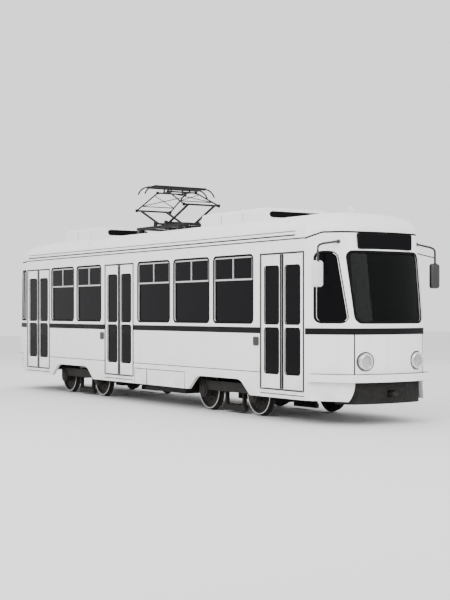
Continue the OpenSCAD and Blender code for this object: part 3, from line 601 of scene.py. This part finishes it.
def door_frames():
    """Black jamb rubbers round each doorway, the header seam and the step edge's double line."""
    build = Build()
    near, inside = -HALF_W - PROUD, -HALF_W + LET_IN
    for door in DOORS:
        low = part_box(f"{door}_rear_leaf")[0].x - LEAF_GAP
        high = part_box(f"{door}_front_leaf")[1].x + LEAF_GAP
        build.block((low - JAMB, near, DOOR_SILL), (low, inside, DOOR_HEAD))
        build.block((high, near, DOOR_SILL), (high + JAMB, inside, DOOR_HEAD))
        build.block((low - JAMB, near, DOOR_HEAD), (high + JAMB, inside, DOOR_HEAD + 0.018))
        build.block((low - 0.02, near, DOOR_SILL - 0.016), (high + 0.02, inside, DOOR_SILL))
        build.block((low - 0.02, near, STEP_LINE[0]), (high + 0.02, inside, STEP_LINE[1]))
    build.piece("doorway_rubbers", RUBBER_AND_SHADOW, slot="sign_black", bevel=0.0015)


def end_path(sign, wall, height):
    """The outline of one end in plan, from the right side round to the left. height(x) gives Z."""
    centre_x = WALL_FRONT + 0.0005 if sign > 0 else WALL_REAR - 0.0005
    tree = tree_of(wall)
    lower = Vector((0, 0, 0.03))
    path = []
    for k in range(121):
        angle = math.radians(-90 + 1.5 * k)
        out = Vector((sign * math.cos(angle), math.sin(angle), 0))
        x = centre_x + sign * min(0.7, 1.05 * math.cos(angle) / max(0.01, abs(math.sin(angle))))
        for _ in range(3):
            start = Vector((centre_x, 0, height(x))) + out * 4
            hit = tree.ray_cast(start, -out)[0] or tree.ray_cast(start - lower, -out)[0]
            x = hit.x if hit else x
        if hit:
            path.append(hit)
    return path


def joint_height(drop):
    """Just below the joint with the roof, which rises over the front corner."""
    def height(x):
        share = min(1.0, max(0.0, (x - WALL_FRONT) / (RAMP_X - WALL_FRONT)))
        return GUTTER_Z + (MASK_Z - GUTTER_Z) * share - drop
    return height


def ribbon(build, path, low_z, high_z, outward, proud=0.0025, sunk=0.002, mark=0):
    """An upright band along a path, from low_z to high_z over it. outward(p) points out of the body."""
    rows = []
    for p in path:
        out = outward(p)
        inner, outer = p - out * sunk, p + out * proud
        rows.append([Vector((inner.x, inner.y, p.z + low_z)), Vector((outer.x, outer.y, p.z + low_z)),
                     Vector((outer.x, outer.y, p.z + high_z)), Vector((inner.x, inner.y, p.z + high_z))])
    build.grid(rows, mark=mark)


def plan_normals(path):
    """Outward plan normals of a path that runs round an end from the right side to the left."""
    result = {}
    centre = sum(path, Vector()) / len(path)
    for i, p in enumerate(path):
        along = (path[min(i + 1, len(path) - 1)] - path[max(i - 1, 0)]).normalized()
        out = Vector((along.y, -along.x, 0))
        if out.dot(p - Vector((centre.x * 0.8, 0, p.z))) < 0:
            out = -out
        result[tuple(round(c, 5) for c in p)] = out
    return lambda p: result[tuple(round(c, 5) for c in p)]


def band_round_ends(build, low_z, high_z, proud=0.0025):
    """The stripe's run round the nose and the tail."""
    middle, half = (low_z + high_z) / 2, (high_z - low_z) / 2
    for sign, wall in ((1, "nose"), (-1, "tail")):
        path = end_path(sign, wall, lambda x: middle)
        ribbon(build, path, -half, half, plan_normals(path), proud)


def wall_runs():
    """The stretches of the right side between its doorways."""
    edges = [WALL_REAR]
    for door in reversed(DOORS):
        edges += [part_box(f"{door}_rear_leaf")[0].x - LEAF_GAP - JAMB,
                  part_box(f"{door}_front_leaf")[1].x + LEAF_GAP + JAMB]
    edges.append(WALL_FRONT)
    return [(a, b) for a, b in zip(edges[::2], edges[1::2]) if b - a > 0.03]


def belt_stripe():
    build = Build()
    band_round_ends(build, *STRIPE)
    for a, b in wall_runs():
        build.block((a, -HALF_W - 0.0025, STRIPE[0]), (b, -HALF_W + LET_IN, STRIPE[1]))
    build.block((WALL_REAR, HALF_W - LET_IN, STRIPE[0]), (WALL_FRONT, HALF_W + 0.0025, STRIPE[1]))
    build.piece("belt_stripe", BLACK, slot="sign_black")


def body_seams():
    """Panel joints: the skirt seam, the front's upright seams, the roof joint and the locker doors."""
    build = Build()
    for a, b in wall_runs():
        if b - a > 0.3:
            build.block((a, -HALF_W - SEAM_PROUD, SEAM_Z), (b, -HALF_W + 0.001, SEAM_Z + SEAM_W))
    build.block((WALL_REAR, HALF_W - 0.001, SEAM_Z), (WALL_FRONT, HALF_W + SEAM_PROUD, SEAM_Z + SEAM_W))
    place = facing(1, "nose", [])
    section = ((-0.5, -0.001), (0.5, -0.001), (0.5, SEAM_PROUD), (-0.5, SEAM_PROUD))
    for y in (-NOSE_SEAM_Y, NOSE_SEAM_Y):
        build.grid([[place(y + s * NOSE_SEAM_W, z, o) for s, o in section]
                    for z in (BUMPER_TOP + 0.004, STRIPE[0])])
    for wall, sign in (("nose", 1), ("tail", -1)):
        path = end_path(sign, wall, joint_height(0.016))
        ribbon(build, path, -0.012, 0.012, plan_normals(path), 0.003)
    hair = 0.0002
    for side in (-1, 1):
        near, far = sorted((side * HALF_W, side * HALF_W + side * SEAM_PROUD))
        for low, high in islands("skirt_hatches"):
            if low.y * side < 0:
                continue
            # The uprights are a hair thicker, so that they don't flicker where the lines cross
            for x in (low.x, high.x):
                build.block((x - SEAM_W / 2, near - hair, low.z), (x + SEAM_W / 2, far + hair, high.z))
            build.block((low.x, near, high.z - SEAM_W / 2), (high.x, far, high.z + SEAM_W / 2))
    build.piece("panel_seams", SEAM, slot="sign_black", smooth=False)


def bumper_lines():
    """Thin black seals where the bumpers' top and bottom edges meet the body."""
    build = Build()
    low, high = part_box("bumpers")
    for sign, wall, reach in ((1, "nose", WALL_FRONT + 0.07), (-1, "tail", WALL_REAR - 0.42)):
        for z in (high.z, low.z):
            path = [p for p in end_path(sign, wall, lambda x: z) if (p.x - reach) * sign > 0]
            ribbon(build, path, -0.006, 0.006, plan_normals(path), 0.010)
        half = (high.z - low.z) / 2
        path = [p for p in end_path(sign, "bumpers", lambda x: low.z + half) if (p.x - reach) * sign > 0]
        ribbon(build, path, half - 0.001, half + 0.002, plan_normals(path), -0.001, 0.020)
        ribbon(build, path, -half - 0.002, -half + 0.001, plan_normals(path), -0.001, 0.020)
    build.piece("bumper_seals", RUBBER_AND_SHADOW, slot="sign_black")


# ---------- Roof ----------


def roof_hit(start, direction):
    """Where a ray first meets one of the roof's panels."""
    hits = [tree_of(name).ray_cast(start, direction)[0] for name in ("roof", "front_roof", "rear_roof")]
    return min((hit for hit in hits if hit is not None), key=lambda hit: (hit - start).length)


def roof_height(x, y):
    return roof_hit(Vector((x, y, 6)), Vector((0, 0, -1))).z


def gutters():
    """The rain gutter over the walls and the thin rail above it, with black lines of painted shadow under the
    gutter, over its top and under the rail, on both sides.
    """
    build, shadows = Build(), Build()
    gutter = [(-0.014, -0.016), (0.012, -0.016), (0.018, -0.006), (0.018, 0.010), (0.010, 0.016),
              (-0.014, 0.016)]
    for side in (-1, 1):
        def beside_roof(x, rise):
            return roof_hit(Vector((x, side * FAR, GUTTER_Z + rise)), Vector((0, -side, 0)))

        path = [Vector((x, side * HALF_W, GUTTER_Z + 0.018)) for x in (WALL_REAR - 0.05, WALL_FRONT)]
        build.sweep(path, [(side * a, b) for a, b in gutter])
        rail = [beside_roof(WALL_REAR + 0.1 + (WALL_FRONT - 0.35 - WALL_REAR) * k / 23, 0.12)
                for k in range(24)]
        build.tube(rail, 0.009, 8)
        # Black tubes on the roof just over the gutter and just under the rail: painted shadow.
        for rise, radius in ((0.048, 0.011), (0.108, 0.006)):
            shadows.tube([beside_roof(p.x, rise) for p in rail], radius, 6)
        # A black strip under the gutter: painted shadow.
        shadows.block((WALL_REAR, side * HALF_W - 0.003, GUTTER_Z - 0.016),
                      (WALL_FRONT, side * HALF_W + 0.003, GUTTER_Z - 0.001))
    build.piece("gutters", ROOF_WHITE, slot="body_paint")
    shadows.piece("gutter_shadow_lines", RUBBER_AND_SHADOW, slot="sign_black")


def roof_seams():
    """Thin joints across the roof."""
    build = Build()
    section = ((-0.003, -0.002), (0.003, -0.002), (0.003, 0.0015), (-0.003, 0.0015))
    for x in ROOF_JOINTS_X:
        rows = []
        for k in range(41):
            y = -ROOF_JOINT_REACH + 2 * ROOF_JOINT_REACH * k / 40
            z = roof_height(x, y)
            rows.append([Vector((x + s, y, z + o)) for s, o in section])
        build.grid(rows)
    build.piece("roof_seams", SEAM, slot="sign_black")


def roof_box_trim():
    """Joints and front grilles of the two roof boxes."""
    build = Build()
    for low, high in islands("roof_boxes"):
        width = high.y
        for k in (1, 2):
            x = low.x + (high.x - low.x) * k / 3
            left, right = x - 0.004, x + 0.004
            build.block((left, -width - 0.0015, low.z + 0.02), (right, width + 0.0015, high.z - 0.055))
            build.block((left, -width + 0.058, high.z - 0.06), (right, width - 0.058, high.z + 0.0015))
    build.piece("roof_box_joints", SEAM, slot="sign_black", smooth=False)
    grille = Build()
    for low, high in islands("roof_boxes"):
        rise = high.z - low.z
        half = high.y - 0.085

        def front(y, z):
            hit = tree_of("roof_boxes").ray_cast(Vector((high.x + 0.5, y, z)), Vector((-1, 0, 0)))[0]
            return hit.x

        loop = rounded_loop((-half, low.z + 0.24 * rise), (half, high.z - 0.30 * rise), 0.05)
        rings = [[Vector((front(u, v) + out, u, v)) for u, v in loop] for out in (-0.002, 0.003)]
        grille.grid(rings)
        for k in range(6):
            z = low.z + 0.28 * rise + 0.42 * rise * k / 5
            ys = [-half + 0.05 + (2 * half - 0.1) * j / 12 for j in range(13)]
            grille.grid([[Vector((front(y, z) + out, y, z + dz)) for out, dz in
                          ((0.002, -0.006), (0.012, -0.006), (0.012, 0.003), (0.002, 0.006))] for y in ys])
    grille.piece("roof_box_grilles", RUBBER_AND_SHADOW, slot="sign_black", smooth=False)


# ---------- Running gear ----------


def round_axle(centre, side, profile, count=72):
    """A profile of (radius, distance outward) turned about an axle."""
    return [[centre + Vector((math.cos(t) * r, side * a, math.sin(t) * r)) for r, a in profile]
            for t in angles(count)]


def wheels():
    """Turned wheelsets: painted wheels with hub caps and bolts. The tyres are near-black as painted shade
    under the car, and a bright steel ring on each tyre's face is a painted rim highlight.
    """
    back, tyre_r = 0.690, 0.2755
    for number in range(1, 5):
        node = f"wheelset_{number}"
        low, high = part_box(node)
        centre = (low + high) / 2
        flange_r = (high.z - low.z) / 2
        build = Build()
        reach = (high.y - low.y) / 2 - 0.001
        build.lathe(centre - Vector((0, reach, 0)), (0, 1, 0),
                    [(0, 0), (0.064, 0), (0.064, 2 * reach), (0, 2 * reach)], 32, mark=1)
        disc = [(0.0, 0.0), (0.095, 0.0), (0.110, 0.030), (0.200, 0.036), (0.262, 0.030), (0.275, 0.0),
                (0.276, 0.098), (0.262, 0.068), (0.200, 0.058), (0.110, 0.062), (0.095, 0.098),
                (0.090, 0.100), (0.0, 0.100)]
        # The tyre takes the near-black paint: painted shade under the car over its steel.
        tyre = [(tyre_r, 0.001), (flange_r - 0.012, 0.001), (flange_r - 0.001, 0.008),
                (flange_r - 0.001, 0.018), (WHEEL_R + 0.008, 0.026), (WHEEL_R + 0.001, 0.034),
                (WHEEL_R - 0.002, 0.096), (WHEEL_R - 0.005, 0.0995), (tyre_r, 0.0995)]
        # A thin bright steel ring on the tyre's face: a painted rim highlight.
        rim = [(0.306, 0.0985), (0.306, 0.1010), (0.322, 0.1010), (0.322, 0.0985)]
        for side in (-1, 1):
            hub = centre + Vector((0, side * back, 0))
            build.lathe(hub, (0, side, 0), disc, 64, mark=1)
            build.grid(round_axle(hub, side, tyre), closed_rows=True, mark=1)
            build.grid(round_axle(hub, side, rim), closed_rows=True)
            for bolt, in round_axle(hub, side, [(0.16, 0.055)], 8):
                build.lathe(bolt, (0, side, 0), [(0, 0), (0.014, 0), (0.014, 0.018), (0, 0.018)], 6, mark=1)
        made = build.piece(f"turned_{node}", [TREAD_STEEL_AND_RIM_HIGHLIGHT, WHEEL_PAINT_AND_TYRE_SHADE], body=node, slot="wheel_steel")
        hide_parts(node)


def coil(centre, radius, height, turns, steps=14):
    """A helix that rises from its centre."""
    path = []
    for k in range(turns * steps + 1):
        t = math.tau * k / steps
        path.append(Vector((centre[0] + radius * math.cos(t), centre[1] + radius * math.sin(t),
                            centre[2] + height * k / (turns * steps))))
    return path


def bogie_fittings():
    """Springs, track brake shoes and axle covers on each bogie frame."""
    spring_x, spring_y = 0.26, 0.47
    axle_x, axle_z = 0.75, 0.352
    brake_y = 0.737
    seat = [(0, 0), (0.06, 0), (0.06, 0.01), (0, 0.01)]
    cover = [(0, 0), (0.085, 0), (0.085, 0.014), (0.070, 0.024), (0, 0.026)]
    for bogie in ("front_bogie", "rear_bogie"):
        low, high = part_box(f"{bogie}_frame")
        mid_x = ((low + high) / 2).x
        build = Build()
        for side in (-1, 1):
            for end in (-1, 1):
                x, y = mid_x + end * spring_x, side * spring_y
                build.tube(coil((x, y, 0.500), 0.045, 0.110, 4), 0.010, 8)
                build.lathe((x, y, 0.499), (0, 0, 1), seat, 24)
                build.lathe((mid_x + end * axle_x, side * (high.y - 0.002), axle_z), (0, side, 0), cover, 32)
            y = side * brake_y
            build.block((mid_x - 0.30, y - 0.030, 0.115), (mid_x + 0.30, y + 0.030, 0.135))
            for k in range(5):
                x = mid_x - 0.24 + 0.12 * k
                build.block((x - 0.012, y - 0.037, 0.125), (x + 0.012, y + 0.037, 0.150))
        build.piece(f"{bogie}_fittings", BOGIE, body=bogie, slot="bogie_iron", bevel=0.002)


# ---------- Inside ----------


def seats():
    """Moulded shells with rolled edges on tubular legs, one for each CAD seat."""
    build = Build()
    for low, high in islands("seats"):
        mid_y = (low.y + high.y) / 2
        half = (high.y - low.y) / 2 - 0.004
        base = low.z
        back, lip = low.x, high.x
        upper = [(lip - 0.004, 0.425), (lip - 0.03, 0.446), (back + 0.20, 0.432), (back + 0.11, 0.440),
                 (back + 0.065, 0.50), (back + 0.045, 0.62), (back + 0.028, 0.78), (back + 0.012, 0.893)]
        under = [(back + 0.002, 0.890), (back + 0.008, 0.77), (back + 0.022, 0.60), (back + 0.045, 0.47),
                 (back + 0.10, 0.412), (back + 0.20, 0.404), (lip - 0.03, 0.416), (lip - 0.008, 0.408)]
        rows = []
        for s in (-1.0, -0.94, -0.7, -0.3, 0.3, 0.7, 0.94, 1.0):
            dip = 0.012 * (1 - abs(s) ** 3)
            narrow = 0.02 if abs(s) == 1.0 else 0.0
            rows.append([Vector((x + (narrow if x < low.x + 0.1 else -narrow), mid_y + s * half,
                                 base + z - (dip if z < 0.46 else 0) - narrow * (z > 0.7)))
                         for x, z in upper + under])
        build.grid(rows)
        mid_x = (low.x + high.x) / 2 + 0.03
        for across in (-0.12, 0.12):
            leg = [(mid_x + x, mid_y + across, base + z)
                   for x, z in ((-0.12, 0), (-0.10, 0.40), (0.10, 0.40), (0.12, 0))]
            build.tube(leg, 0.013, 8, mark=1)
    made = build.piece("moulded_seats", [SEAT, STEEL], slot="seat_plastic")
    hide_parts("seats")


def desk_fittings():
    """Controller handle and dials on the driver's desk."""
    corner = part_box("driver_desk")[1]
    build = Build()
    base = corner.z - 0.002
    dial = [(0, 0), (0.05, 0), (0.045, 0.02), (0, 0.02)]
    handle = [(0, 0), (0.018, 0), (0.015, 0.09), (0.028, 0.11), (0.028, 0.14), (0, 0.15)]
    for k in range(3):
        build.lathe((corner.x - 0.06, 0.12 + 0.16 * k, base), (0, 0, 1), dial, 24, mark=1)
    build.lathe((corner.x - 0.07, -0.05, base), (0, 0, 1), handle, 20)
    build.piece("desk_fittings", [CASING, CHROME], slot="desk_plastic")


# ---------- Lamps, mirrors and pantograph ----------


def circle(y, z, radius, count=48):
    return [(y + radius * math.cos(t), z + radius * math.sin(t)) for t in angles(count)]


def headlight_parts():
    """Rims and seals of the headlights, and the ribs on their glasses."""
    build, rims, seals = Build(), Build(), Build()
    profile = [(0.0908, -0.02), (0.0908, 0.004), (0.096, 0.009), (0.103, 0.004), (0.108, 0.002),
               (0.116, 0.004), (0.1245, -0.004), (0.1245, -0.02)]
    place = facing(1, "nose", ["headlights"])
    for low, high in islands("headlights"):
        y, z = (low.y + high.y) / 2, (low.z + high.z) / 2
        rims.grid([[Vector((high.x + a, y + math.cos(t) * r, z + math.sin(t) * r)) for r, a in profile]
                   for t in angles(64)], closed_rows=True)
        inner, outer = circle(y, z, 0.129), circle(y, z, 0.143)
        seals.grid([[place(u, v, out) for u, v in loop] for loop, out in
                    ((inner, -0.004), (inner, 0.004), (outer, 0.004), (outer, -0.002))], closed_rows=True)
    for low, high in islands("headlight_lenses"):
        y, z = (low.y + high.y) / 2, (low.z + high.z) / 2
        for k in range(9):
            offset = -0.08 + 0.02 * k
            half = math.sqrt(max(0.0, 0.084 ** 2 - offset ** 2))
            build.block((high.x - 0.001, y + offset - 0.003, z - half),
                        (high.x + 0.0025, y + offset + 0.003, z + half))
    build.piece("headlight_ribs", LENS, slot="headlight_glass", bevel=0.001)
    rims.piece("headlight_rims", CHROME, slot="headlight_ring")
    seals.piece("headlight_seals", RUBBER_AND_SHADOW, slot="sign_black")


def mirrors():
    """Rounded casings on bent arms. The right one's back is painted white, a lit copy of the black casing,
    and the left one has a second stay.
    """
    low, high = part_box("mirrors")
    mid_x = (low.x + high.x) / 2
    near, far = high.y - 0.195, high.y
    middle = (near + far) / 2
    foot, head, arm_foot = 2.060, 2.450, 2.435
    backs = ((-0.030, -0.006), (-0.026, 0), (-0.006, 0), (0.012, -0.008), (0.024, -0.028), (0.029, -0.060))
    wall_boss = [(0, 0), (0.030, 0), (0.030, 0.012), (0.024, 0.03), (0.014, 0.045), (0, 0.05)]
    casing_boss = [(0, 0), (0.024, 0.0), (0.024, 0.03), (0.014, 0.045), (0, 0.045)]
    face = rounded_loop((near + 0.012, foot + 0.012), (far - 0.012, head - 0.012), 0.036)
    for side in (-1, 1):
        build = Build()
        rows = []
        for x, grow in backs:
            loop = rounded_loop((near - grow + 0.001, foot - grow), (far + grow - 0.001, head + grow),
                                0.045 + max(grow, -0.02))
            rows.append([Vector((mid_x + x, side * u, v)) for u, v in loop])
        # The right mirror's back takes the white casing as painted light. The left one keeps the black
        # casing.
        build.grid(rows, mark=2 if side < 0 else 0)
        build.grid([[Vector((mid_x - depth, side * u, v)) for u, v in face] for depth in (0.0305, 0.0290)],
                   mark=1)
        place = beside(side, "nose", ["right_windows" if side < 0 else "left_windows"])
        seat = place(mid_x, 2.740, 0.0)
        build.lathe(seat - Vector((0, side * 0.01, 0)), (0, side, 0), wall_boss, 24)
        bends = ((-0.09, 2.700), (-0.03, 2.680), (-0.004, 2.650), (0, 2.600), (0, arm_foot))
        arm = [seat + Vector((0, side * 0.02, 0))]
        arm += [Vector((mid_x, side * (middle + shift), z)) for shift, z in bends]
        build.tube(arm, 0.017, 12)
        if side > 0:
            stay = [place(mid_x, 2.600, 0.0), Vector((mid_x, side * (middle - 0.01), 2.540))]
            build.tube(stay, 0.009, 10)
        build.lathe((mid_x, side * middle, arm_foot - 0.01), (0, 0, 1), casing_boss, 20)
        build.piece(f"{'right' if side < 0 else 'left'}_mirror",
                                [CASING, SILVERED, LIT_MIRROR_CASING], slot="mirror_plastic")
    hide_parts("mirrors")
    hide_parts("mirrors")


def pantograph_details():
    """Ribbed insulators, lifting springs and wear strips."""
    low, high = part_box("pantograph_base")
    build = Build()
    insulator_y = 0.36
    profile = [(0, 0)]
    for k in range(4):
        z = 0.018 * k
        profile += [(0.055, z + 0.001), (0.078, z + 0.006), (0.078, z + 0.010), (0.055, z + 0.016)]
    profile.append((0, 0.075))
    for x in (low.x + 0.15, high.x - 0.15):
        for y in (-insulator_y, insulator_y):
            build.lathe((x, y, roof_height(x, y)), (0, 0, 1), profile, 28)
    build.piece("pantograph_insulators", INSULATOR, slot="black_paint")
    springs = Build()
    start, end = low.x + 0.25, high.x - 0.25
    steps, coil_r = 160, 0.028
    for side in (-1, 1):
        path = [Vector((start + (end - start) * k / steps, side * 0.12 + coil_r * math.cos(math.tau * k / 8),
                        high.z - 0.075 + coil_r * math.sin(math.tau * k / 8))) for k in range(steps + 1)]
        springs.tube(path, 0.006, 6)
    springs.piece("pantograph_springs", PANTO, slot="black_paint")
    head_low, head_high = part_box("collector_head")
    mid_x = (head_low.x + head_high.x) / 2
    strips = Build()
    for x in (-0.13, 0.13):
        strips.block((mid_x + x - 0.014, -0.54, head_high.z - 0.002),
                     (mid_x + x + 0.014, 0.54, head_high.z + 0.0005))
    strips.piece("wear_strips", COPPER, body="collector_head", slot="black_paint", bevel=0.002)


def sign_parts():
    """The black frame round the destination sign."""
    low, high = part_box("destination_sign")
    build = Build()

    def place(u, v, out):
        return Vector((high.x + out, u, v))

    gasket(build, rounded_loop((low.y, low.z), (high.y, high.z), 0.03), place, width=0.0, lap=0.022)
    build.piece("sign_frame", RUBBER_AND_SHADOW, slot="sign_black")


# ---------- Stage ----------


LIGHTS = (("key", (9, -15, 12), 2100, 9), ("front", (20, 2, 9), 1100, 8), ("top", (-4, -2, 15), 700, 12),
          ("back", (-14, 10, 9), 500, 9))
LIT_SPOT = Vector((0, 0, 1.5))
FLOOR_REACH = 60
EYE = (19.68, -12.00, 1.694)
GAZE = Vector((-0.8376, 0.5464, 0))


def stage():
    """A pale floor, a bright sky and four soft lights."""
    floor = bpy.data.meshes.new("floor")
    corners = [(FLOOR_REACH * x, FLOOR_REACH * y, 0) for x, y in ((-1, -1), (1, -1), (1, 1), (-1, 1))]
    floor.from_pydata(corners, [], [(0, 1, 2, 3)])
    material, _, shader = new_material("pale_floor")
    shader.inputs["Base Color"].default_value = (0.80, 0.80, 0.80, 1)
    shader.inputs["Roughness"].default_value = 0.9
    floor.materials.append(material)
    ground = linked("ground", floor)
    world = bpy.data.worlds.new("studio")
    bpy.context.scene.world = world
    world.use_nodes = True
    background = world.node_tree.nodes["Background"]
    background.inputs["Color"].default_value = (0.96, 0.96, 0.97, 1)
    background.inputs["Strength"].default_value = 1.55
    for name, place, power, width in LIGHTS:
        light = bpy.data.lights.new(name, "AREA")
        light.energy = power
        light.size = width
        lamp = linked(name, light)
        lamp.location = place
        lamp.rotation_euler = (LIT_SPOT - Vector(place)).to_track_quat("-Z", "Y").to_euler()


def camera():
    """The viewpoint of someone standing to the right of the car's front."""
    lens = bpy.data.cameras.new("camera")
    lens.sensor_width = 36
    lens.lens = 72.63
    lens.shift_y = 0.0197
    lens.clip_end = 200
    viewer = linked("camera", lens)
    viewer.location = EYE
    viewer.rotation_euler = GAZE.to_track_quat("-Z", "Y").to_euler()
    bpy.context.scene.camera = viewer


side_windows()
end_windows()
leaf_parts()
door_frames()
belt_stripe()
body_seams()
bumper_lines()
gutters()
roof_seams()
roof_box_trim()
wheels()
bogie_fittings()
seats()
desk_fittings()
headlight_parts()
mirrors()
pantograph_details()
sign_parts()
stage()
camera()
